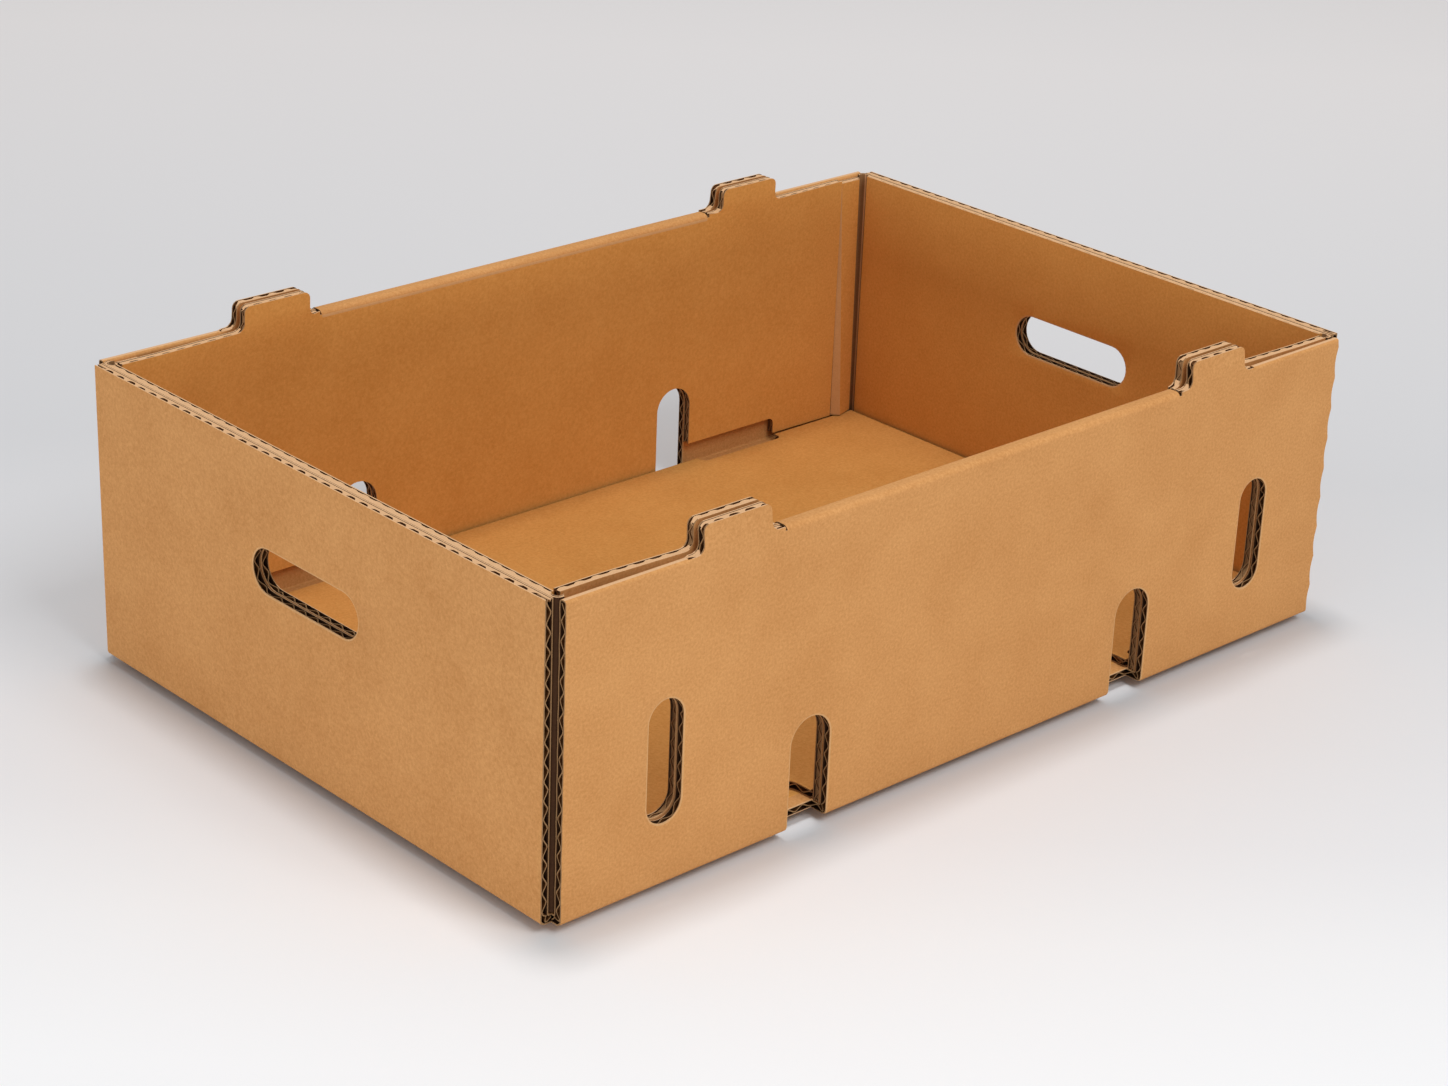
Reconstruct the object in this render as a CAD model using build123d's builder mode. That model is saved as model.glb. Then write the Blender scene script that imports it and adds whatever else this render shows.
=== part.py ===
from build123d import *
import os

# Driving dimensions of the tray, in millimetres. X runs along the long walls,
# the front long wall faces -Y, and the tray stands on Z = 0.
length = 600
width = 400
wall_height = 176
board = 5
glue_line = 0.2
fold_gap = 0.4
fold_outer = 3
fold_inner = 1
corner_setback = 7
hem_radius = 2
rim_radius = 3.5
rim_length = 300
relief_width = 5
relief_depth = 3
tab_width = 45
tab_height = 15
tab_offset = 183
tab_radius = 4
tab_foot_radius = 5
arch_width = 28
arch_height = 63
arch_offset = 126
vent_width = 23
vent_height = 69
vent_inset = 73
vent_centre = 70
hand_length = 92
hand_height = 26
hand_centre = 109
bend_inset = 87
bend_length = 50
inner_gap = 2
back_shortfall = 19
receptacle_end = 216
receptacle_height = 16
notch_radius = 4
flange_width = 18
flange_foot = 5
flange_drop = 2
liner_fold = 4.5
crease_radius = 3
pad_gap = 2
pad_setback = 7
pad_scallop = 22
flute_pitch = 10.5
flute_depth = 4
paper = 0.7
overrun = 1

# Sizes that follow from the ones above.
half_length = length / 2
half_width = width / 2
half_height = wall_height / 2
wall_stack = 2 * board + fold_gap
panel_length = length - 2 * corner_setback
end_length = width - 2 * corner_setback
inner_foot = board + fold_gap
inner_height = wall_height - inner_foot
liner_out = half_length - board - glue_line
liner_side = half_width - board - glue_line
liner_reach = board + flange_width
liner_foot = board + fold_inner
pad_foot = board + glue_line
liner_height = wall_height - liner_foot
inner_reach = liner_out - board - inner_gap
bend_start = half_length - bend_inset
bend_stop = bend_start + bend_length
bend_shift = board + glue_line
foot_lift = pad_foot + board + glue_line - inner_foot
lifted_length = half_length - bend_start
lifted_offset = (half_length + bend_start) / 2
rim_seat = half_width - wall_stack / 2
relief_offset = (rim_length + relief_width) / 2
tab_base = tab_width + 4 * tab_foot_radius
tab_middle = wall_height + tab_height / 2
tab_base_middle = wall_height - tab_height / 2
receptacle_length = receptacle_end - arch_offset
receptacle_offset = (receptacle_end + arch_offset) / 2
pad_length = 2 * (liner_out - board - pad_gap)
pad_width = 2 * (half_width - wall_stack - pad_gap)
setback_start = arch_offset + arch_width / 2 + pad_setback
setback_length = receptacle_end - setback_start
setback_offset = (receptacle_end + setback_start) / 2
vent_offset = half_length - vent_inset
outer_seat = half_width - board / 2
inner_seat = half_width - wall_stack + board / 2
end_seat = half_length - board / 2
liner_seat = liner_out - board / 2
flute_base = flute_pitch - 2 * paper
flute_rise = board - 3 * paper
flute_seat = board / 2 - paper
upright_middle = (wall_height + board) / 2
upright_flutes = int((wall_height - 2 * board) // flute_pitch)
end_flutes = int((end_length - board) // flute_pitch)
liner_flutes = int((2 * liner_side - 4 * board) // flute_pitch)
tab_flutes = int((tab_width - 2 * tab_radius) // flute_pitch)

# Open flutes of the corrugated board, drawn once along X for each kind of cut edge: the fluted
# paper runs in a zigzag between two rows of triangular mouths.
flute_rows = []
for count in (upright_flutes, end_flutes, liner_flutes, tab_flutes):
    with BuildSketch() as flute_row:
        with Locations((0, -flute_seat)):
            with GridLocations(flute_pitch, 0, count, 1):
                Polygon((-flute_base / 2, 0), (flute_base / 2, 0), (0, flute_rise))
        with Locations((0, flute_seat)):
            with GridLocations(flute_pitch, 0, count - 1, 1):
                Polygon((flute_base / 2, 0), (-flute_base / 2, 0), (0, -flute_rise))
    flute_rows.append(flute_row.sketch)
upright_row, end_row, liner_row, tab_row = flute_rows

# Inner long walls with the inner leaf of the tabs and the receptacles. Towards the corners they bend
# in past the flanges of the end liners and stand on the floor pad, and the back one stops short of
# the right corner.
inner_walls = []
for way, right_reach in ((-1, inner_reach), (1, inner_reach - back_shortfall)):
    glued = way * (half_width - board - fold_gap)
    shown = way * (half_width - wall_stack)
    shift = way * bend_shift
    with BuildPart() as inner_wall:
        with BuildSketch(Plane.XY.offset(inner_foot)) as inner_plan:
            Polygon(
                (-inner_reach, glued - shift),
                (-bend_stop, glued - shift),
                (-bend_start, glued),
                (bend_start, glued),
                (bend_stop, glued - shift),
                (right_reach, glued - shift),
                (right_reach, shown - shift),
                (bend_stop, shown - shift),
                (bend_start, shown),
                (-bend_start, shown),
                (-bend_stop, shown - shift),
                (-inner_reach, shown - shift),
            )
        extrude(amount=inner_height + tab_height)
        with BuildSketch(Plane.XZ) as inner_outline:
            with Locations((0, inner_foot + inner_height / 2)):
                Rectangle(length, inner_height)
            with Locations((-tab_offset, tab_middle), (tab_offset, tab_middle)):
                Rectangle(tab_width, tab_height)
            feet = inner_outline.vertices().group_by(Axis.Y)[-2]
            fillet(feet.filter_by(lambda v: abs(v.X) < tab_offset + tab_width), tab_foot_radius)
            fillet(inner_outline.vertices().group_by(Axis.Y)[-1], tab_radius)
            with Locations((-receptacle_offset, inner_foot), (receptacle_offset, inner_foot)):
                RectangleRounded(receptacle_length, 2 * receptacle_height, notch_radius, mode=Mode.SUBTRACT)
            with Locations((-lifted_offset, inner_foot), (lifted_offset, inner_foot)):
                Rectangle(lifted_length, 2 * foot_lift, mode=Mode.SUBTRACT)
        extrude(amount=half_width, both=True, mode=Mode.INTERSECT)
    inner_walls.append(inner_wall.part)

with BuildPart() as tray_body:
    # Floor and outer long walls, with a rounded fold along each long side and soft top edges.
    with BuildSketch(Plane.YZ) as long_section:
        with Locations((0, half_height)):
            Rectangle(width, wall_height)
        with Locations((0, half_height + board)):
            Rectangle(width - 2 * board, wall_height, mode=Mode.SUBTRACT)
        fillet(long_section.vertices().group_by(Axis.Y)[1], fold_inner)
        fillet(long_section.vertices().group_by(Axis.Y)[0], fold_outer)
        fillet(long_section.vertices().group_by(Axis.Y)[-1], hem_radius)
    extrude(amount=panel_length / 2, both=True)

    # Outer end walls, folded up from the short sides of the same floor.
    with BuildSketch(Plane.XZ) as end_section:
        with Locations((0, half_height)):
            Rectangle(length, wall_height)
        with Locations((0, half_height + board)):
            Rectangle(length - 2 * board, wall_height, mode=Mode.SUBTRACT)
        fillet(end_section.vertices().group_by(Axis.Y)[1], fold_inner)
        fillet(end_section.vertices().group_by(Axis.Y)[0], fold_outer)
    extrude(amount=end_length / 2, both=True)

    # Outer leaf of the stacking tabs, in line with each outer long wall.
    for face in (board - half_width, half_width):
        with BuildSketch(Plane.XZ.offset(-face)) as outer_tabs:
            with Locations((-tab_offset, tab_base_middle), (tab_offset, tab_base_middle)):
                Rectangle(tab_base, tab_height)
            with Locations((-tab_offset, tab_middle), (tab_offset, tab_middle)):
                Rectangle(tab_width, tab_height)
            feet = outer_tabs.vertices().group_by(Axis.Y)[-2]
            feet = feet.filter_by(lambda v: abs(abs(v.X) - tab_offset) < tab_base / 2 - overrun)
            fillet(feet, tab_foot_radius)
            fillet(outer_tabs.vertices().group_by(Axis.Y)[-1], tab_radius)
        extrude(amount=board)

    for inner_wall in inner_walls:
        add(inner_wall)

    # Rolled rim: both layers are taken down between the tabs and the fold is laid over them.
    with BuildSketch(Plane.YZ) as rim_clearance:
        with Locations((-rim_seat, wall_height), (rim_seat, wall_height)):
            Rectangle(wall_stack + 2 * overrun, 2 * board)
    extrude(amount=rim_length / 2, both=True, mode=Mode.SUBTRACT)
    for seat in (-rim_seat, rim_seat):
        with BuildSketch(Plane.YZ) as rim_section:
            with Locations((seat, wall_height - board / 2)):
                Rectangle(wall_stack, board)
            fillet(rim_section.vertices().group_by(Axis.Y)[-1], rim_radius)
        extrude(amount=rim_length / 2, both=True)

    # Relief cuts between the rim and the tabs, and the arches through wall and floor fold.
    for face in (wall_stack - half_width + overrun, half_width + overrun):
        with BuildSketch(Plane.XZ.offset(-face)) as wall_cuts:
            with Locations((-relief_offset, wall_height), (relief_offset, wall_height)):
                Rectangle(relief_width, 2 * relief_depth)
            with Locations((-arch_offset, 0), (arch_offset, 0)):
                SlotOverall(2 * arch_height, arch_width, rotation=90)
        extrude(amount=wall_stack + 2 * overrun, mode=Mode.SUBTRACT)

    # Upright vent slots in the front wall.
    with BuildSketch(Plane.XZ.offset(half_width - wall_stack - bend_shift)) as vents:
        with Locations((-vent_offset, vent_centre), (vent_offset, vent_centre)):
            SlotOverall(vent_height, vent_width, rotation=90)
    extrude(amount=wall_stack + bend_shift + overrun, mode=Mode.SUBTRACT)

    # Hand holes in the outer end walls.
    with BuildSketch(Plane.YZ) as hand_holes:
        with Locations((0, hand_centre)):
            SlotOverall(hand_length, hand_height)
    extrude(amount=half_length + overrun, both=True, mode=Mode.SUBTRACT)

    # Flute mouths along the upright cut edges of the outer long walls and the outer end walls.
    for way in (-1, 1):
        with BuildSketch(Plane.YZ.offset(way * panel_length / 2)) as long_wall_flutes:
            with Locations((-outer_seat, upright_middle), (outer_seat, upright_middle)):
                add(upright_row, rotation=90)
        extrude(amount=-way * flute_depth, mode=Mode.SUBTRACT)
        with BuildSketch(Plane.XZ.offset(way * end_length / 2)) as end_wall_flutes:
            with Locations((-end_seat, upright_middle), (end_seat, upright_middle)):
                add(upright_row, rotation=90)
        extrude(amount=-way * flute_depth, mode=Mode.SUBTRACT)

    # Flute mouths in the top edges of the outer end walls and of both leaves of the tabs.
    with BuildSketch(Plane.XY.offset(wall_height)) as end_top_flutes:
        with Locations((-end_seat, 0), (end_seat, 0)):
            add(end_row, rotation=90)
    extrude(amount=-flute_depth, mode=Mode.SUBTRACT)
    with BuildSketch(Plane.XY.offset(wall_height + tab_height)) as tab_top_flutes:
        for seat in (-outer_seat, -inner_seat, inner_seat, outer_seat):
            with Locations((-tab_offset, seat), (tab_offset, seat)):
                add(tab_row)
    extrude(amount=-flute_depth, mode=Mode.SUBTRACT)

with BuildPart() as left_end_liner:
    # End panel and its two corner flanges, folded from one sheet that is crushed along each crease.
    with BuildSketch(Plane.XY.offset(liner_foot)) as liner_plan:
        with Locations((liner_reach / 2 - liner_out, 0)):
            Rectangle(liner_reach, 2 * liner_side)
        with Locations((liner_reach / 2 - liner_out + board, 0)):
            Rectangle(liner_reach, 2 * (liner_side - board), mode=Mode.SUBTRACT)
        fillet(liner_plan.vertices().group_by(Axis.X)[0], liner_fold)
        with Locations((board - liner_out, board - liner_side), (board - liner_out, liner_side - board)):
            Circle(crease_radius, mode=Mode.SUBTRACT)
    extrude(amount=liner_height)

    # The flanges stop short of the floor and a little below the rim.
    with BuildSketch(Plane.XZ) as flange_trim:
        with Locations((liner_reach / 2 + board / 2 - liner_out, liner_foot)):
            Rectangle(liner_reach - board, 2 * flange_foot)
        with Locations((liner_reach / 2 + board / 2 - liner_out, wall_height)):
            Rectangle(liner_reach - board, 2 * flange_drop)
    extrude(amount=half_width, both=True, mode=Mode.SUBTRACT)

    with BuildSketch(Plane.YZ) as liner_hand_hole:
        with Locations((0, hand_centre)):
            SlotOverall(hand_length, hand_height)
    extrude(amount=half_length, both=True, mode=Mode.SUBTRACT)

    # Flute mouths in the top edge of the end panel.
    with BuildSketch(Plane.XY.offset(wall_height)) as liner_top_flutes:
        with Locations((-liner_seat, 0)):
            add(liner_row, rotation=90)
    extrude(amount=-flute_depth, mode=Mode.SUBTRACT)

with BuildPart() as right_end_liner:
    mirror(left_end_liner.part, about=Plane.YZ)

with BuildPart() as floor_pad:
    # Second sheet on the floor, notched beside the receptacles and behind the front arches.
    with BuildSketch(Plane.XY.offset(pad_foot)) as pad_plan:
        Rectangle(pad_length, pad_width)
        for side in (-pad_width / 2, pad_width / 2):
            with Locations((-setback_offset, side), (setback_offset, side)):
                RectangleRounded(setback_length, 2 * pad_setback, notch_radius, mode=Mode.SUBTRACT)
        with Locations((-arch_offset, -pad_width / 2), (arch_offset, -pad_width / 2)):
            SlotOverall(2 * pad_scallop, arch_width, rotation=90, mode=Mode.SUBTRACT)
    extrude(amount=board)

tray_body.part.label = "tray_body"
left_end_liner.part.label = "left_end_liner"
right_end_liner.part.label = "right_end_liner"
floor_pad.part.label = "floor_pad"
os.makedirs("parts", exist_ok=True)
export_step(tray_body.part, "parts/tray_body.step")
export_step(left_end_liner.part, "parts/left_end_liner.step")
export_step(right_end_liner.part, "parts/right_end_liner.step")
export_step(floor_pad.part, "parts/floor_pad.step")
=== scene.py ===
import math
import random
import bmesh
import bpy
from mathutils import Matrix, Vector


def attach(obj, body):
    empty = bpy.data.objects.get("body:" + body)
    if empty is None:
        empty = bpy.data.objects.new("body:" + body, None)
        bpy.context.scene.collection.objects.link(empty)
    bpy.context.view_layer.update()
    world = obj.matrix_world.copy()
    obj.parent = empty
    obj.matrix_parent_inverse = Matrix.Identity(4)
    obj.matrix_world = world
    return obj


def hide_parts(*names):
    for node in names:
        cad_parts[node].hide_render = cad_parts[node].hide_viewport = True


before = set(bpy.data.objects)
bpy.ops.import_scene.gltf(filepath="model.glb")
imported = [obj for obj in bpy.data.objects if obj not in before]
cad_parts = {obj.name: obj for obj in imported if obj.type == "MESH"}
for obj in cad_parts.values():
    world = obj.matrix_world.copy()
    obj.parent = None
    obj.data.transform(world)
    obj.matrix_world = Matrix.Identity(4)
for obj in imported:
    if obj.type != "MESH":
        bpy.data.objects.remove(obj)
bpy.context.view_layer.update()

print("frame loaded")

mm = 0.001
hair = 0.01              # mm, slack where a point may lie right on a line
rnd = random.Random(11)

board = {                # single wall corrugated board, mm
    "thick": 5.0,
    "liner": 0.75,       # facing paper, drawn heavier than it is so that its cut line shows
    "medium": 0.7,       # fluted paper between the facings, drawn heavier too
    "lip": 0.9,          # pressed rim that the die leaves round a hole
    "lipSink": 0.4,      # how far that is pressed in, as a share of the facing
    "topSlope": 0.6,     # an upward edge flatter than this counts as a top and gets the painted highlight
    "grid": 22.0,        # mesh spacing over the panels
    "weld": 0.0005,
    "sharp": 32,         # degrees, steeper turns stay sharp
}

flutes = {
    "pitch": 10.5,
    "points": 8,                         # along one flute
    "depth": 8.0,                        # how far in from a cut edge they are made
    "inset": 0.25,                       # their ends lie just behind the facings
    "drift": 0.012,                      # they wander, as a share of the pitch
    "steep": 1.12, "flat": 0.92,         # straight flanks, flattened at the crests
    "topInset": 0.3, "topDepth": 1.2,    # along the tops they are crushed to shallow mouths
    "mouthSteep": 1.4, "mouthLift": 0.75, "mouthLeast": 0.7,
    "shut": 0.1, "clear": 0.01,          # shares of the thickness, at the crushed and at the seen side
}

arcSteps = {"slot": 14, "arch": 16, "tab": 6, "corner": 5}


# flat shapes, in mm, all drawn anticlockwise

def arc(cu, cv, radius, start, stop, steps):
    turn = [math.radians(start + (stop - start) * i / steps) for i in range(steps + 1)]
    return [(cu + radius * math.cos(a), cv + radius * math.sin(a)) for a in turn]


def uprightSlot(cu, cv, wide, tall):
    r, run, steps = wide / 2, (tall - wide) / 2, arcSteps["slot"]
    return arc(cu, cv + run, r, 0, 180, steps) + arc(cu, cv - run, r, 180, 360, steps)


def levelSlot(cu, cv, wide, tall):
    r, run, steps = tall / 2, (wide - tall) / 2, arcSteps["slot"]
    return arc(cu + run, cv, r, -90, 90, steps) + arc(cu - run, cv, r, 90, 270, steps)


def mirrored(points):
    return [(-u, v) for u, v in reversed(points)]


def bothSides(values):
    return [way * value for way in (-1, 1) for value in values]


def offsetLoop(loop, by):              # a hole's line moved out into the board
    result = []
    for (ua, va), (u, v), (ub, vb) in zip(loop[-1:] + loop[:-1], loop, loop[1:] + loop[:1]):
        span = math.hypot(ub - ua, vb - va)
        result.append((u + (vb - va) / span * by, v - (ub - ua) / span * by))
    return result


def flatSheet(sheet):                  # z is 1 on a hole's cut line, face material 1 marks its pressed rim, which gets the painted highlight
    bm = bmesh.new()
    rings = []
    for loop in [sheet["outline"]] + [offsetLoop(hole, board["lip"]) for hole in sheet["holes"]]:
        ring = [bm.verts.new((u, v, 0)) for u, v in loop]
        for a, b in zip(ring, ring[1:] + ring[:1]):
            bm.edges.new((a, b))
        rings.append(ring)
    bmesh.ops.triangle_fill(bm, use_beauty=True, edges=bm.edges[:], normal=(0, 0, 1))
    for hole, ring in zip(sheet["holes"], rings[1:]):
        lip = [bm.verts.new((u, v, 1)) for u, v in hole]
        for i in range(len(lip)):
            j = (i + 1) % len(lip)
            bm.faces.new((ring[i], ring[j], lip[j], lip[i])).material_index = 1
    for axis, lines in ((0, sheet["linesU"]), (1, sheet["linesV"])):
        for at in lines:
            point, normal = [0, 0, 0], [0, 0, 0]
            point[axis], normal[axis] = at, 1
            bmesh.ops.bisect_plane(bm, geom=bm.verts[:] + bm.edges[:] + bm.faces[:],
                                   dist=board["weld"], plane_co=point, plane_no=normal)
    bm.verts.index_update()
    return bm


def spread(low, high, step):           # even lines between two ends, without the ends
    count = max(1, round((high - low) / step))
    return [low + (high - low) * i / count for i in range(1, count)]


def ease(t):
    t = min(1.0, max(0.0, t))
    return t * t * (3 - 2 * t)


def between(near, far, s):             # s is 0 on the near facing and 1 on the far one
    return near[0] + (far[0] - near[0]) * s, near[1] + (far[1] - near[1]) * s


# each piece's mesh is gathered in a stock, its faces numbered by the kind of paper they show, some kinds painted lit
# or shaded

def newStock():
    return {"verts": [], "faces": [], "mats": []}


def addFace(stock, ids, kind):
    stock["faces"].append(ids)
    stock["mats"].append(kinds[kind])


def addFacing(stock, bm, sheet, place, shown, glued, kind):
    base, count = len(stock["verts"]), len(bm.verts)
    sink = (glued - shown) * board["lipSink"]
    stock["verts"] += [place(v.co.x, v.co.y, shown + v.co.z * sink) for v in bm.verts]
    stock["verts"] += [place(v.co.x, v.co.y, glued) for v in bm.verts]
    for face in bm.faces:
        ids = [v.index for v in face.verts]
        middle = face.calc_center_median()
        shade = "lip" if face.material_index else sheet["tint"](middle.x, middle.y, kind)
        addFace(stock, [base + i for i in ids], shade)
        # the glued back of each facing is painted dark, as shade inside the flutes
        addFace(stock, [base + count + i for i in reversed(ids)], "glued")
    for edge in bm.edges:
        if edge.is_boundary:
            a, b = edge.verts
            level = abs(a.co.y - b.co.y) < board["topSlope"] * abs(a.co.x - b.co.x)
            faceBelow = edge.link_faces[0].calc_center_median().y < (a.co.y + b.co.y) / 2
            i, j = base + a.index, base + b.index
            # cut edges that face up get the painted highlight, the others the painted shade
            addFace(stock, [i, j, count + j, count + i], "top" if sheet["tops"] and level and faceBelow else "cut")


def walkAlong(path, closed, step):     # even steps: distance, place and direction
    points = path + [path[0]] if closed else path
    lengths = [math.dist(a, b) for a, b in zip(points, points[1:])]
    total = sum(lengths)
    count = max(2, round(total / step))
    result, leg, done = [], 0, 0.0
    for i in range(count if closed else count + 1):
        want = min(total * i / count, total - 1e-6)
        while done + lengths[leg] < want:
            done += lengths[leg]
            leg += 1
        t = (want - done) / lengths[leg]
        (ua, va), (ub, vb) = points[leg], points[leg + 1]
        way = ((ub - ua) / lengths[leg], (vb - va) / lengths[leg])
        result.append((want, ua + (ub - ua) * t, va + (vb - va) * t, way))
    return result


def addFlutes(stock, path, closed, sheet, place):
    half, share = board["medium"] / board["thick"] / 2, board["liner"] / board["thick"]
    swing, flat = 0.5 - (share + half), flutes["flat"]
    inward = -1 if closed else 1        # the board lies left of an outline and right of a hole
    shut = abs(sheet["gap"] - flutes["shut"])
    rim = abs(1 - sheet["gap"] - share - flutes["clear"])
    base, points = len(stock["verts"]), flutes["points"]
    steps = walkAlong(path, closed, flutes["pitch"] / points)
    squash = [rnd.uniform(flutes["mouthLeast"], 1.0) for i in range(len(steps) // points + 3)]
    phase, drift, tops = rnd.random(), 0.0, []
    for want, u, v, way in steps:
        drift += rnd.uniform(-flutes["drift"], flutes["drift"])
        flute, turn = divmod(want / flutes["pitch"] + phase + drift, 1.0)
        nu, nv = -way[1] * inward, way[0] * inward
        onTop = sheet["tops"] and not closed and nv < -board["topSlope"]
        wave = 1 - abs(4 * turn - 2)    # straight sided flutes, -1 to 1
        if onTop:
            mouth = min(1.0, max(0.0, flutes["mouthSteep"] * wave + flutes["mouthLift"]))
            wave = sheet["mouth"] * squash[int(flute)] * mouth - flat
        s = 0.5 + swing * max(-flat, min(flat, wave * flutes["steep"]))
        if onTop and sheet["gap"] < 0.5:
            s = 1 - s
        deep = flutes["topDepth"] if onTop else sheet["deep"]
        cut, topCut = flutes["inset"], flutes["topInset"]
        for inset, at in ((cut, s - half), (cut, s + half), (deep, s + half), (deep, s - half),
                          (topCut, shut), (deep, rim), (topCut, rim), (deep, 1 - rim)):
            stock["verts"].append(place(u + nu * inset, v + nv * inset, at))
        tops.append(onTop)
    count = len(steps)
    for i in range(count if closed else count - 1):
        j = (i + 1) % count
        a, b = base + 8 * i, base + 8 * j               # eight points were made at each step
        for k in range(4):
            # flute ends along the tops get the painted highlight, the others the painted shade of the cut edges
            kind = "flute" if k else "top" if tops[i] else "cut"
            addFace(stock, [a + k, b + k, b + (k + 1) % 4, a + (k + 1) % 4], kind)
        if tops[i] and tops[j]:                         # shut on the glued side, a floor under the mouths
            k = 1 if sheet["gap"] > 0.5 else 0
            addFace(stock, [a + k, b + k, b + 4, a + 4], "top")
            addFace(stock, [a + 2 + k, b + 2 + k, b + 5, a + 5], "flute")
            addFace(stock, [a + 5, b + 5, b + 6, a + 6], "flute")
        elif sheet["deep"] < flutes["depth"]:           # bruised edge, closed a little way in, in the painted shade of the cut edges
            addFace(stock, [a + 5, b + 5, b + 7, a + 7], "cut")
    if not closed:
        for a in (base, base + 8 * (count - 1)):
            addFace(stock, [a, a + 1, a + 2, a + 3], "cut")


def addBoard(stock, sheet, place):      # gap is the side, 0 or 1, that is glued to the next layer
    plain = {"holes": [], "cuts": [], "linesU": [], "linesV": [], "near": "face", "far": "face",
             "gap": 1.0, "mouth": 1.0, "deep": flutes["depth"], "tops": True, "tint": lambda u, v, kind: kind}
    sheet = plain | sheet
    bm = flatSheet(sheet)
    share = board["liner"] / board["thick"]
    addFacing(stock, bm, sheet, place, 0.0, share, sheet["near"])
    addFacing(stock, bm, sheet, place, 1.0, 1.0 - share, sheet["far"])
    bm.free()
    for path in sheet["cuts"]:
        addFlutes(stock, path, False, sheet, place)
    for hole in sheet["holes"]:
        addFlutes(stock, hole, True, sheet, place)


def finishPiece(name, stock, node):
    mesh = bpy.data.meshes.new(name)
    mesh.from_pydata([tuple(c * mm for c in v) for v in stock["verts"]], [], stock["faces"])
    mesh.polygons.foreach_set("material_index", stock["mats"])
    for material in boardMaterials:
        mesh.materials.append(material)
    bm = bmesh.new()
    bm.from_mesh(mesh)
    bmesh.ops.delete(bm, geom=[v for v in bm.verts if not v.link_faces], context="VERTS")
    bmesh.ops.recalc_face_normals(bm, faces=bm.faces[:])
    bm.to_mesh(mesh)
    bm.free()
    mesh.polygons.foreach_set("use_smooth", [True] * len(mesh.polygons))
    mesh.set_sharp_from_angle(angle=math.radians(board["sharp"]))
    piece = bpy.data.objects.new(name, mesh)
    bpy.context.scene.collection.objects.link(piece)
    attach(piece, "root")
    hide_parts(node)
    print(name, len(mesh.polygons), "faces")


# materials

def hexLinear(text):
    parts = [int(text[i:i + 2], 16) / 255 for i in (1, 3, 5)]
    return tuple(c / 12.92 if c <= 0.04045 else ((c + 0.055) / 1.055) ** 2.4 for c in parts) + (1.0,)


def addNode(tree, kind, settings, links):
    node = tree.nodes.new(kind)
    for key, value in settings.items():
        if isinstance(key, int) or key in node.inputs:
            node.inputs[key].default_value = value
        else:
            setattr(node, key, value)
    for key, socket in links.items():
        tree.links.new(socket, node.inputs[key])
    return node


# Unbleached kraft paper, machine made and uncoated: matt brown, with soft clouds and a fibrous grain.
# Sizes in mm. Kraft fibres are some 0.03 mm wide, so the grain is drawn as clumps coarse enough to show.
paper = {
    "face": {              # calendered liner: even, mid brown
        "name": "kraftLinerPaper",
        "dark": "#BB8046", "light": "#D9A064", "cloud": 45, "fibre": 1.6, "bump": 0.25},
    "inside": {            # the same liner inside the tray, painted warmer and paler as painted light for the light bounced round inside it
        "name": "kraftLinerPaperTraySidePaintedBounceLight",
        "dark": "#C98A41", "light": "#E1A459", "cloud": 45, "fibre": 1.6, "bump": 0.25},
    "glued": {             # back of the liner, where it is glued: painted shade, dark so that the flutes read as open
        "name": "kraftLinerPaperGluedSidePaintedShade",
        "dark": "#3A2210", "light": "#4A2D16", "cloud": 20, "fibre": 1.6, "bump": 0.2},
    "cut": {               # cut edge facing sideways or down: painted shade, duller and greyer than the paper, with a rough grain
        "name": "kraftPaperCutEdgePaintedShade",
        "dark": "#8E6B47", "light": "#A37E57", "cloud": 6, "fibre": 0.9, "bump": 0.3},
    "top": {               # cut edge facing up: painted highlight, the palest line on the tray
        "name": "kraftPaperTopEdgePaintedHighlight",
        "dark": "#D3A577", "light": "#E1B68B", "cloud": 6, "fibre": 0.9, "bump": 0.3},
    "flute": {             # recycled medium between the facings, painted a deeper brown than the paper as shade in the flute hollows
        "name": "kraftFlutingPaperPaintedShade",
        "dark": "#5C3617", "light": "#71451F", "cloud": 12, "fibre": 1.2, "bump": 0.2},
    "pad": {               # liner of the floor pad, painted darker than the tray side as painted shade
        "name": "kraftLinerPaperFloorPadPaintedShade",
        "dark": "#B87C39", "light": "#D09651", "cloud": 45, "fibre": 1.6, "bump": 0.25},
    "lip": {               # liner pressed by the die or creased: a real pressed rim, painted paler as a highlight
        "name": "kraftLinerPaperPressedLipPaintedHighlight",
        "dark": "#C99762", "light": "#D8A975", "cloud": 6, "fibre": 0.9, "bump": 0.3},
}
kinds = {kind: i for i, kind in enumerate(paper)}


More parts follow.
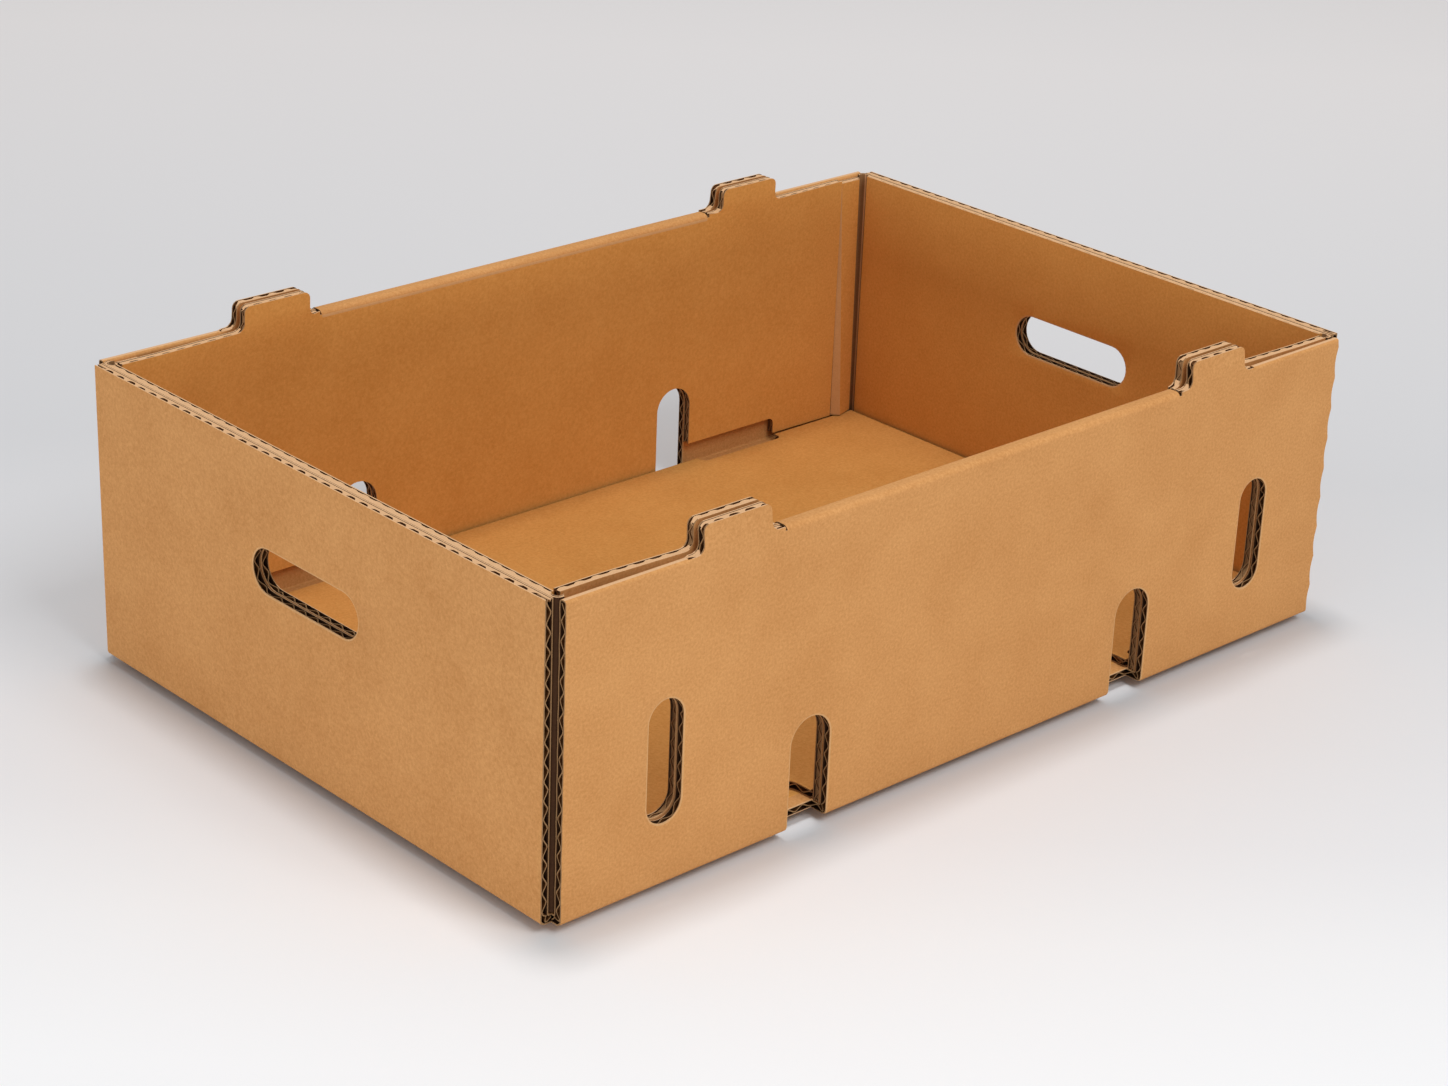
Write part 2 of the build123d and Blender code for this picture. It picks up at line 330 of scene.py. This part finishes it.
def kraftPaper(look):
    material = bpy.data.materials.new(look["name"])
    material.use_nodes = True
    tree = material.node_tree
    tree.nodes.clear()
    where = addNode(tree, "ShaderNodeTexCoord", {}, {})
    cloud = addNode(tree, "ShaderNodeTexNoise",
                    {"Scale": 1 / (look["cloud"] * mm), "Detail": 4.0, "Roughness": 0.6},
                    {"Vector": where.outputs["Object"]})
    fibre = addNode(tree, "ShaderNodeTexNoise",
                    {"Scale": 1 / (look["fibre"] * mm), "Detail": 3.0, "Roughness": 0.7},
                    {"Vector": where.outputs["Object"]})
    blend = addNode(tree, "ShaderNodeMix", {"data_type": "FLOAT", 0: 0.7},
                    {2: cloud.outputs["Fac"], 3: fibre.outputs["Fac"]})
    tone = addNode(tree, "ShaderNodeMapRange", {"From Min": 0.3, "From Max": 0.7}, {"Value": blend.outputs[0]})
    colour = addNode(tree, "ShaderNodeMix",
                     {"data_type": "RGBA", 6: hexLinear(look["dark"]), 7: hexLinear(look["light"])},
                     {0: tone.outputs["Result"]})
    bump = addNode(tree, "ShaderNodeBump", {"Strength": look["bump"], "Distance": 0.15 * mm},
                   {"Height": fibre.outputs["Fac"]})
    shader = addNode(tree, "ShaderNodeBsdfPrincipled", {"Roughness": 0.82, "IOR": 1.45, "Specular IOR Level": 0.25},
                     {"Base Color": colour.outputs[2], "Normal": bump.outputs["Normal"]})
    addNode(tree, "ShaderNodeOutputMaterial", {}, {"Surface": shader.outputs["BSDF"]})
    return material


boardMaterials = [kraftPaper(look) for look in paper.values()]
print("materials made")


# tray body: floor, outer walls, rolled rim and inner long walls from one folded sheet

body = {
    "halfLength": 300.0, "halfWidth": 200.0, "wall": 176.0,
    "stack": 10.4,                     # both layers of a long wall
    "setback": 7.0,                    # outer panels stop this short of the corners
    "apron": 20.0,                     # strip of floor that is drawn with each wall
    "foldOut": 3.0, "foldIn": 1.0,
    "rimHalf": 150.0, "rimRadius": 3.5, "rimLine": 0.7, "rimTuck": 0.2, "rimTuckRate": 0.05,
    "relief": 1.5, "reliefDepth": 2.2,                         # slit beside the rolled rim
    "hem": 2.0, "hemStart": 215.5, "hemLead": 3.0,             # soft closed top, from the tab to the corner
    "hemHighlight": 0.2,                                           # painted highlight above this share of the hem
    "tabAt": 183.0, "tabWide": 45.0, "tabHigh": 15.0, "tabRound": 4.0, "tabFoot": 5.0,
    "tabLean": 1.2, "tabGap": 3.4,                             # both leaves lean in, the inner one further
    "leanStart": 25.0, "leanLong": 35.0, "leanBlend": 12.0,    # the inner leaf leans from below the rim up
    "archAt": 126.0, "archWide": 28.0, "archHigh": 63.0, "archBack": 11.4,
    "ventAt": 227.0, "ventWide": 23.0, "ventHigh": 69.0, "ventCentre": 70.0,
    "handLong": 92.0, "handHigh": 26.0, "handCentre": 109.0,
    "notchEnd": 216.0, "notchHigh": 16.0, "notchRound": 4.0,   # receptacle for a tab from below
    "innerFoot": 5.4, "innerReach": 287.8, "innerGrid": 275.0, "innerDeep": 1.0,
    "bendStart": 213.0, "bendLong": 50.0, "bendRound": 2.0, "bendShift": 5.2,  # in past a liner's flange
    "tightShift": 0.8,                 # at the right hand corners the inner wall stays close to the outer one
    "bentFoot": 10.4,                  # beyond the notch its foot stands on the pad
    "backShort": 19.0,                 # and at the back it stops short of the right hand corner
    "frontPost": 8.0,                  # inner wall left standing beside a front arch
    "ripplePitch": 19.0, "rippleStep": 1.6, "rippleRight": 1.5, "rippleLeft": 0.25,
    "mouth": 1.5, "rightMouth": 1.0,   # how far the flutes gape along the tops
}
top = body["wall"]
foldLines = [-6, -4.5, -3, -2, -1, 0, 1, 2, 3, 4.5, 6]         # mesh lines round the fold at the floor


def rollReach(radius, deep):           # flat length of a wall that rolls over as far as this depth
    return top - radius + radius * math.pi / 2 + deep - radius


def rollLines(radius, count):
    return [top - radius + radius * math.pi / 2 * i / count for i in range(count + 1)]


rimReach, hemReach = rollReach(body["rimRadius"], body["stack"] / 2), rollReach(body["hem"], board["thick"] / 2)
rimLines, hemLines = rollLines(body["rimRadius"], 6), rollLines(body["hem"], 5)


def foldPoint(v, deep, radius):        # v below zero runs in along the floor, above zero up the wall
    span = deep + radius
    if v <= -span:
        return -v, deep
    if v >= span:
        return deep, v
    t = (v + span) / (2 * span) * math.pi / 2
    return span - radius * math.sin(t), span - radius * math.cos(t)


def rimPoint(v, deep):                 # over the rolled rim, from the wall's face to the middle of the stack
    r = body["rimRadius"]
    if deep > 0:
        over = max(0.0, v - (top - deep))
        return deep + min(body["rimTuck"], over * body["rimTuckRate"]), min(v, top - deep)
    run = v - (top - r)
    if run <= 0:
        return 0.0, v
    t = min(run / r, math.pi / 2)
    return r - r * math.cos(t) + max(0.0, run - r * math.pi / 2), top - r + r * math.sin(t)


def hemPoint(v, s):                    # over a closed top, each facing as far as the middle of the board
    if s > 0.5:
        deep, z = hemPoint(v, 1 - s)
        return board["thick"] - deep, z
    r = body["hem"]
    run = max(0.0, v - (top - r))
    t, left = min(run / r, math.pi / 2), max(0.0, r - board["thick"] * s)
    return r - left * math.cos(t) + max(0.0, run - r * math.pi / 2), top - r + left * math.sin(t)


def overRim(u, v):
    return abs(u) <= body["rimHalf"] + hair and v > top - board["thick"]


def hemTint(u, v, kind):               # a closed top gets a painted highlight along its crest
    return "top" if abs(u) > body["hemStart"] and v > top + body["hemHighlight"] * body["hem"] else kind


def rimTint(u, v, kind):               # the roll shows outside paper, with a painted highlight as a pale line along its crease
    if not overRim(u, v):
        return kind
    over = v - (top - body["rimRadius"])
    return kind if over < -body["rimLine"] else "lip" if over < body["rimLine"] else "face"


def outerWall(half, rolled):
    def place(u, v, s):
        near, far, lean = foldPoint(v, 0.0, body["foldOut"]), foldPoint(v, board["thick"], body["foldIn"]), 0.0
        if rolled and overRim(u, v):
            near, far = rimPoint(v, 0.0), rimPoint(v, board["thick"])
        elif rolled and abs(u) > body["hemStart"] - hair and v > top - body["hem"]:
            near = far = hemPoint(v, s)
        if rolled and v > top and not overRim(u, v) and abs(u) <= body["hemStart"]:
            lean = body["tabLean"] * ease((v - top) / body["tabHigh"])
        deep, z = between(near, far, s)
        return u, half - lean - deep, z
    return place


def innerWall(half, leftShift, rightShift):
    def place(u, v, s):
        near, far = (0.0, v), (board["thick"], v)
        if overRim(u, v):
            near, far = rimPoint(v, 0.0), rimPoint(v, board["thick"])
        bent = min(1.0, max(0.0, (abs(u) - body["bendStart"]) / body["bendLong"]))
        lean = body["tabGap"] * ease((v - top + body["leanStart"]) / body["leanLong"])
        lean *= ease((abs(u) - body["rimHalf"]) / body["leanBlend"])
        lean += ((rightShift if u > 0 else leftShift) - lean) * bent
        deep, z = between(near, far, s)
        return u, half - body["stack"] - lean + deep, z
    return place


def turned(place, side):               # stands a wall on its own side of the tray
    def moved(u, v, s):
        u, d, z = place(u, v, s)
        return {"front": (u, -d, z), "back": (u, d, z), "left": (-d, u, z), "right": (d, u, z)}[side]
    return moved


def tabLine():                         # right hand tab, from its outer foot over to its inner foot
    r, foot, steps = body["tabRound"], body["tabFoot"], arcSteps["tab"]
    right, left = body["tabAt"] + body["tabWide"] / 2, body["tabAt"] - body["tabWide"] / 2
    high = top + body["tabHigh"]
    return (arc(right + foot, top + foot, foot, 270, 180, steps) + arc(right - r, high - r, r, 0, 90, steps)
            + arc(left + r, high - r, r, 90, 180, steps) + arc(left - foot, top + foot, foot, 360, 270, steps))


def topLine():                         # top of a long wall on the right, over the tab and into the roll of the rim
    rim, low = body["rimHalf"], top - body["reliefDepth"]
    return tabLine() + [(rim + body["relief"], top), (rim + body["relief"], low), (rim, low), (rim, rimReach)]


def ripple(u, low, high, deep):        # upright cut edge, drawn in a little between the flutes
    count = round((high - low) / body["rippleStep"])
    rows = [low + (high - low) * i / count for i in range(count + 1)]
    return [(u - deep * abs(math.sin(math.pi * v / body["ripplePitch"])), v) for v in rows]


hand = levelSlot(0, body["handCentre"], body["handLong"], body["handHigh"])
archAt, archHalf = body["archAt"], body["archWide"] / 2
archRun = body["archHigh"] - archHalf
apron, setback = body["apron"], body["setback"]
trayBody = newStock()

for side in ("front", "back"):
    wallEnd = body["halfLength"] - setback
    apronEnd = wallEnd - apron + setback
    rightEdge = [(wallEnd, -setback)] + ripple(wallEnd, foldLines[-1], top - body["hem"], body["rippleRight"])
    leftEdge = mirrored([(wallEnd, -setback)]
                        + ripple(wallEnd, foldLines[-1], top - body["hem"], body["rippleLeft"]))
    hemEnd = [(wallEnd, hemReach), (body["hemStart"], hemReach), (body["hemStart"], top)]
    overTop = hemEnd[2:] + topLine()
    arches = [[(at - archHalf, -body["archBack"]), (at + archHalf, -body["archBack"])]
              + arc(at, archRun, archHalf, 0, 180, arcSteps["arch"]) for at in (-archAt, archAt)]
    vents = []
    if side == "front":
        vents = [uprightSlot(at, body["ventCentre"], body["ventWide"], body["ventHigh"])
                 for at in (-body["ventAt"], body["ventAt"])]
    underRoll = top - board["thick"]
    addBoard(trayBody, {
        "outline": ([(-apronEnd, -apron), (apronEnd, -apron)] + rightEdge + hemEnd + topLine()
                    + mirrored(hemEnd + topLine()) + leftEdge),
        "holes": arches + vents,
        "cuts": [rightEdge, leftEdge, overTop, mirrored(overTop)],
        "linesU": spread(-wallEnd, wallEnd, board["grid"]) + bothSides([body["hemStart"] - body["hemLead"]]),
        "linesV": (foldLines + spread(foldLines[-1], underRoll, board["grid"]) + [underRoll]
                   + rimLines + hemLines),
        "mouth": body["mouth"],
        "tint": hemTint,
    }, turned(outerWall(body["halfWidth"], True), side))

    foot, bentFoot = body["innerFoot"], body["bentFoot"]
    notchTop, notchEnd, r = foot + body["notchHigh"], body["notchEnd"], body["notchRound"]
    post = [(archAt + archHalf, notchTop)]
    if side == "front":
        postEnd = archAt + archHalf + body["frontPost"]
        post = [(archAt + archHalf, foot), (postEnd, foot), (postEnd, notchTop)]
    halves = []
    for innerEnd in (body["innerReach"] - (body["backShort"] if side == "back" else 0.0), body["innerReach"]):
        halves.append([(archAt - archHalf, foot)] + arc(archAt, archRun, archHalf, 180, 0, arcSteps["arch"]) + post
                      + arc(notchEnd - r, notchTop - r, r, 90, 0, arcSteps["corner"])
                      + [(notchEnd, bentFoot), (innerEnd, bentFoot), (innerEnd, top)] + topLine())
    bendEnd = body["bendStart"] + body["bendLong"]
    bendLines = [body["bendStart"], body["bendStart"] + body["bendRound"], bendEnd - body["bendRound"], bendEnd]
    addBoard(trayBody, {
        "outline": halves[0] + mirrored(halves[1]),
        "holes": vents,
        "cuts": [halves[0], mirrored(halves[1]), [(-archAt + archHalf, foot), (archAt - archHalf, foot)]],
        "linesU": spread(-body["innerGrid"], body["innerGrid"], board["grid"]) + bothSides(bendLines),
        "linesV": (spread(foot, underRoll, board["grid"]) + [underRoll, rimLines[0] - body["rimLine"]]
                   + rimLines),
        "near": "inside",
        "deep": body["innerDeep"],
        "tint": rimTint,
    }, turned(innerWall(body["halfWidth"], body["bendShift"], body["tightShift"]), side))

for side in ("left", "right"):
    wallEnd = body["halfWidth"] - setback
    apronEnd = wallEnd - apron + setback
    addBoard(trayBody, {
        "outline": [(-apronEnd, -apron), (apronEnd, -apron), (wallEnd, -setback), (wallEnd, top),
                    (-wallEnd, top), (-wallEnd, -setback)],
        "holes": [hand],
        "cuts": [[(wallEnd, -setback), (wallEnd, top)], [(-wallEnd, top), (-wallEnd, -setback)],
                 [(wallEnd, top), (-wallEnd, top)]],
        "linesU": spread(-wallEnd, wallEnd, board["grid"]),
        "linesV": foldLines + spread(foldLines[-1], top, board["grid"]),
        "mouth": body["mouth"] if side == "left" else body["rightMouth"],
    }, turned(outerWall(body["halfLength"], False), side))

floorU, floorV = body["halfLength"] - apron, body["halfWidth"] - apron
addBoard(trayBody, {
    "outline": [(-floorU, -floorV), (floorU, -floorV), (floorU, floorV), (-floorU, floorV)],
    "far": "inside",
}, lambda u, v, s: (u, v, s * board["thick"]))
finishPiece("trayBody", trayBody, "tray_body")


# end liners: inner end panels with a hand hole, folded round the corners to narrow flanges

endLiner = {
    "out": 294.8, "side": 194.8, "foot": 6.0, "top": 176.0,
    "foldOut": 4.5, "crease": 3.0,
    "paleLine": (-1.5, -0.5),              # pale line in the crease, in the paint of the upward cut edges
    "reach": 23.0,
    "tightReach": 6.0,                 # front flange of the right hand liner
    "flangeFoot": 5.0, "backDrop": 2.0, "frontDrop": 8.0,
    "looseReach": 25.5, "slack": 6.5,  # the flange in the back right hand corner leans in at its foot
    "bevel": 5.0, "press": 5.5,        # and its edge is pressed back
    "taper": 0.9,                      # over a strip that narrows by this share on its way up
    "grid": 184.0, "foldLines": list(range(-9, 10)) + [14, 20.5],
    "mouth": 0.65,
}


def outerCorner(u):                    # distance out from the tray's middle lines, round one corner
    r, run = endLiner["foldOut"], u - endLiner["side"]
    if run <= -r:
        return endLiner["out"], u
    if run >= r:
        return endLiner["out"] - run, endLiner["side"]
    t = (run + r) / (2 * r) * math.pi / 2
    return endLiner["out"] - r + r * math.cos(t), endLiner["side"] - r + r * math.sin(t)


def innerCorner(u):                    # the same on the tray side, where the crease is pressed into the board
    r, deep, run = endLiner["crease"], board["thick"], u - endLiner["side"]
    if run <= -deep - r:
        return endLiner["out"] - deep, u
    if run >= deep + r:
        return endLiner["out"] - run, endLiner["side"] - deep
    t = math.radians(-90 + 270 * (run + deep + r) / (2 * (deep + r)))
    return endLiner["out"] - deep + r * math.cos(t), endLiner["side"] - deep + r * math.sin(t)


def creaseTint(u, v, kind):            # painted shade in the crease, with a pale line along it; painted highlight where the flange's edge is pressed back
    if kind != "inside":
        return kind
    if u - endLiner["side"] > endLiner["looseReach"] - endLiner["bevel"]:
        return "lip"
    run, (scarStart, scarStop) = abs(u) - endLiner["side"], endLiner["paleLine"]
    return kind if abs(run) > board["thick"] else "top" if scarStart < run < scarStop else "cut"


def linerWall(way, loose):
    deep, bevel, reach = board["thick"], endLiner["bevel"], endLiner["looseReach"]

    def place(u, v, s):
        sign = 1 if u >= 0 else -1
        x, y = between(outerCorner(abs(u)), innerCorner(abs(u)), s)
        run = u - endLiner["side"]
        if loose and run > deep:
            up, left = v / endLiner["top"], reach - run
            edge = max(0.0, 1 - left / bevel)
            y -= (1 - up) * (endLiner["slack"] * ease(run / reach) - endLiner["press"] * edge * (1 + s) / 2)
            x -= endLiner["taper"] * up * min(left, bevel * (run - deep) / (reach - bevel - deep))
        return way * x, sign * y, v
    return place


for name, way, node, backReach, frontReach in (
        ("leftEndLiner", -1, "left_end_liner", endLiner["reach"], endLiner["reach"]),
        ("rightEndLiner", 1, "right_end_liner", endLiner["looseReach"], endLiner["tightReach"])):
    linerStock = newStock()
    step = endLiner["side"] + board["thick"]
    low, high, flangeLow = endLiner["foot"], endLiner["top"], endLiner["foot"] + endLiner["flangeFoot"]
    flanges = []
    for drop, reach in ((endLiner["backDrop"], backReach), (endLiner["frontDrop"], frontReach)):
        tip = endLiner["side"] + reach
        flanges.append([(step, low), (step, flangeLow), (tip, flangeLow),
                        (tip, high - drop), (step, high - drop), (step, high)])
    backFlange, frontFlange = flanges[0], mirrored(flanges[1])
    addBoard(linerStock, {
        "outline": backFlange + frontFlange,
        "holes": [hand],
        "cuts": [backFlange[1:5], frontFlange[1:5], [(step, high), (-step, high)], [(-step, low), (step, low)]],
        "linesU": (spread(-endLiner["grid"], endLiner["grid"], board["grid"])
                   + bothSides([endLiner["side"] + d for d in endLiner["foldLines"]])),
        "linesV": spread(low, high, board["grid"]),
        # the face against the outer wall gets the dark glued paint, painted shade in the corner groove
        "near": "glued", "far": "inside", "gap": 0.0,
        "mouth": endLiner["mouth"],
        "tint": creaseTint,
    }, linerWall(way, name == "rightEndLiner"))
    finishPiece(name, linerStock, node)


# floor pad: second sheet on the floor, set back at the receptacles and scalloped behind the front arches

pad = {"halfLong": 287.8, "halfWide": 187.6, "foot": 5.2, "setback": 7.0, "scallop": 22.0, "round": 4.0, "grid": 24.0}


def padEdge(scallops):                 # right half of a long edge, from the middle out to the corner
    y, r, deep, steps = -pad["halfWide"], pad["round"], pad["setback"], arcSteps["corner"]
    start, stop = archAt + archHalf + pad["setback"], body["notchEnd"]
    line = []
    if scallops:
        scallop = arc(archAt, y + pad["scallop"] - archHalf, archHalf, 180, 0, arcSteps["arch"])
        line = [(archAt - archHalf, y)] + scallop + [(archAt + archHalf, y)]
    line += [(start, y)] + arc(start + r, y + deep - r, r, 180, 90, steps)
    line += arc(stop - r, y + deep - r, r, 90, 0, steps) + [(stop, y)]
    return line + [(pad["halfLong"], y)]


floorPad = newStock()
padFront = mirrored(padEdge(True)) + padEdge(True)
padRear = [(-u, -v) for u, v in mirrored(padEdge(False)) + padEdge(False)]
addBoard(floorPad, {
    "outline": padFront + padRear,
    "cuts": [padFront + padRear + padFront[:1]],
    "linesU": spread(-pad["halfLong"], pad["halfLong"], pad["grid"]),
    "linesV": spread(-pad["halfWide"], pad["halfWide"], pad["grid"]),
    "near": "pad", "tops": False,
}, lambda u, v, s: (u, v, pad["foot"] + (1 - s) * board["thick"]))
finishPiece("floorPad", floorPad, "floor_pad")


# stage: pale floor with painted light and shade, soft light and the camera, in metres

stage = {
    "half": 7.0,
    "gap": 0.005,                      # folded board is never quite flat, so a dark line shows under it
    "sweepWay": (0.687, 0.726, 0.0), "sweepStart": -0.47, "sweepStop": 1.3,
    # tones of the floor along the view: painted light falling off, with painted shade round the tray
    "paintedFalloffTones": [(0.0, "#F3F4F6"), (0.075, "#EDEEF0"), (0.136, "#E4E5E8"),
              (0.2, "#DFE0E3"), (0.42, "#D4D5D8"), (1.0, "#E6E3E3")],
}
floorMesh = bpy.data.meshes.new("studioFloor")
floorMesh.from_pydata([(x * stage["half"], y * stage["half"], -stage["gap"])
                       for x, y in ((-1, -1), (1, -1), (1, 1), (-1, 1))], [], [(0, 1, 2, 3)])
studioFloor = bpy.data.objects.new("studioFloor", floorMesh)
bpy.context.scene.collection.objects.link(studioFloor)
floorPaint = bpy.data.materials.new("mattStudioFloorPaintedFalloff")      # matt floor, its tones painted light: palest near the camera, darkening to painted shade just beyond the tray, a little paler far back
floorPaint.use_nodes = True
floorTree = floorPaint.node_tree
floorTree.nodes.clear()
floorPlace = addNode(floorTree, "ShaderNodeTexCoord", {}, {})
alongSweep = addNode(floorTree, "ShaderNodeVectorMath", {"operation": "DOT_PRODUCT", 1: stage["sweepWay"]},
                     {0: floorPlace.outputs["Object"]})
sweepShare = addNode(floorTree, "ShaderNodeMapRange",
                     {"From Min": stage["sweepStart"], "From Max": stage["sweepStop"]},
                     {"Value": alongSweep.outputs["Value"]})
paintedFalloffRamp = addNode(floorTree, "ShaderNodeValToRGB", {}, {"Fac": sweepShare.outputs["Result"]})
for at, tone in stage["paintedFalloffTones"][1:-1]:
    paintedFalloffRamp.color_ramp.elements.new(at).color = hexLinear(tone)
for i in (0, -1):
    paintedFalloffRamp.color_ramp.elements[i].color = hexLinear(stage["paintedFalloffTones"][i][1])
floorShader = addNode(floorTree, "ShaderNodeBsdfPrincipled", {"Roughness": 0.7, "Specular IOR Level": 0.2},
                      {"Base Color": paintedFalloffRamp.outputs["Color"]})
addNode(floorTree, "ShaderNodeOutputMaterial", {}, {"Surface": floorShader.outputs["BSDF"]})
floorMesh.materials.append(floorPaint)

light = {
    "sky": 0.42, "backdrop": "#DBD7D6",
    "lamps": [
        {"name": "keySoftbox", "at": (0.2, -3.4, 4.6), "aim": (0, 0, 0), "wide": 2.5, "tall": 2.5, "power": 105},
        {"name": "topLamp", "at": (0.1, 0.35, 4.5), "aim": (0, 0, 0), "wide": 0.7, "tall": 0.7, "power": 68},
        {"name": "frontFill", "at": (0.4, -4.0, 0.3), "aim": (0, 0, 0.1), "wide": 2.4, "tall": 0.4, "power": 22},
        {"name": "leftFill", "at": (-4.0, -0.3, 0.3), "aim": (0, 0, 0.1), "wide": 2.4, "tall": 0.4, "power": 37},
    ],
}
world = bpy.data.worlds.new("studioWorld")
bpy.context.scene.world = world
world.use_nodes = True
worldTree = world.node_tree
worldTree.nodes.clear()
lightPath = addNode(worldTree, "ShaderNodeLightPath", {}, {})
sky = addNode(worldTree, "ShaderNodeBackground", {"Color": (1, 1, 1, 1), "Strength": light["sky"]}, {})
backdrop = addNode(worldTree, "ShaderNodeBackground", {"Color": hexLinear(light["backdrop"]), "Strength": 1.0}, {})
seen = addNode(worldTree, "ShaderNodeMixShader", {},
               {0: lightPath.outputs["Is Camera Ray"], 1: sky.outputs[0], 2: backdrop.outputs[0]})
addNode(worldTree, "ShaderNodeOutputWorld", {}, {"Surface": seen.outputs[0]})
for lamp in light["lamps"]:
    lampData = bpy.data.lights.new(lamp["name"], "AREA")
    lampData.shape = "RECTANGLE"
    lampData.size, lampData.size_y = lamp["wide"], lamp["tall"]
    lampData.energy = lamp["power"]
    lampObject = bpy.data.objects.new(lamp["name"], lampData)
    lampObject.location = lamp["at"]
    lampObject.rotation_euler = (Vector(lamp["aim"]) - Vector(lamp["at"])).to_track_quat("-Z", "Y").to_euler()
    lampObject.visible_camera = False
    bpy.context.scene.collection.objects.link(lampObject)

view = {
    "azimuth": -43.44, "elevation": 23.92, "roll": 2.30, "distance": 1.773, "target": (-0.0556, -0.0546, 0.0900),
    "focal": 3199.0, "frame": 1448.0,  # pixels
    "sensor": 36.0,                    # mm
}
az, el, roll = (math.radians(view[k]) for k in ("azimuth", "elevation", "roll"))
toCamera = Vector((math.sin(az) * math.cos(el), -math.cos(az) * math.cos(el), math.sin(el)))
levelRight = Vector((0, 0, 1)).cross(toCamera).normalized()
levelUp = toCamera.cross(levelRight)
tiltedRight = levelRight * math.cos(roll) + levelUp * math.sin(roll)
tiltedUp = levelUp * math.cos(roll) - levelRight * math.sin(roll)
cameraData = bpy.data.cameras.new("photoCamera")
cameraData.sensor_width = view["sensor"]
cameraData.sensor_fit = "HORIZONTAL"
cameraData.lens = view["focal"] / view["frame"] * view["sensor"]
camera = bpy.data.objects.new("photoCamera", cameraData)
camera.matrix_world = Matrix((tiltedRight, tiltedUp, toCamera)).transposed().to_4x4()
camera.location = Vector(view["target"]) + toCamera * view["distance"]
bpy.context.scene.collection.objects.link(camera)
bpy.context.scene.camera = camera
bpy.context.scene.view_settings.view_transform = "Standard"
print("stage, light and camera set")
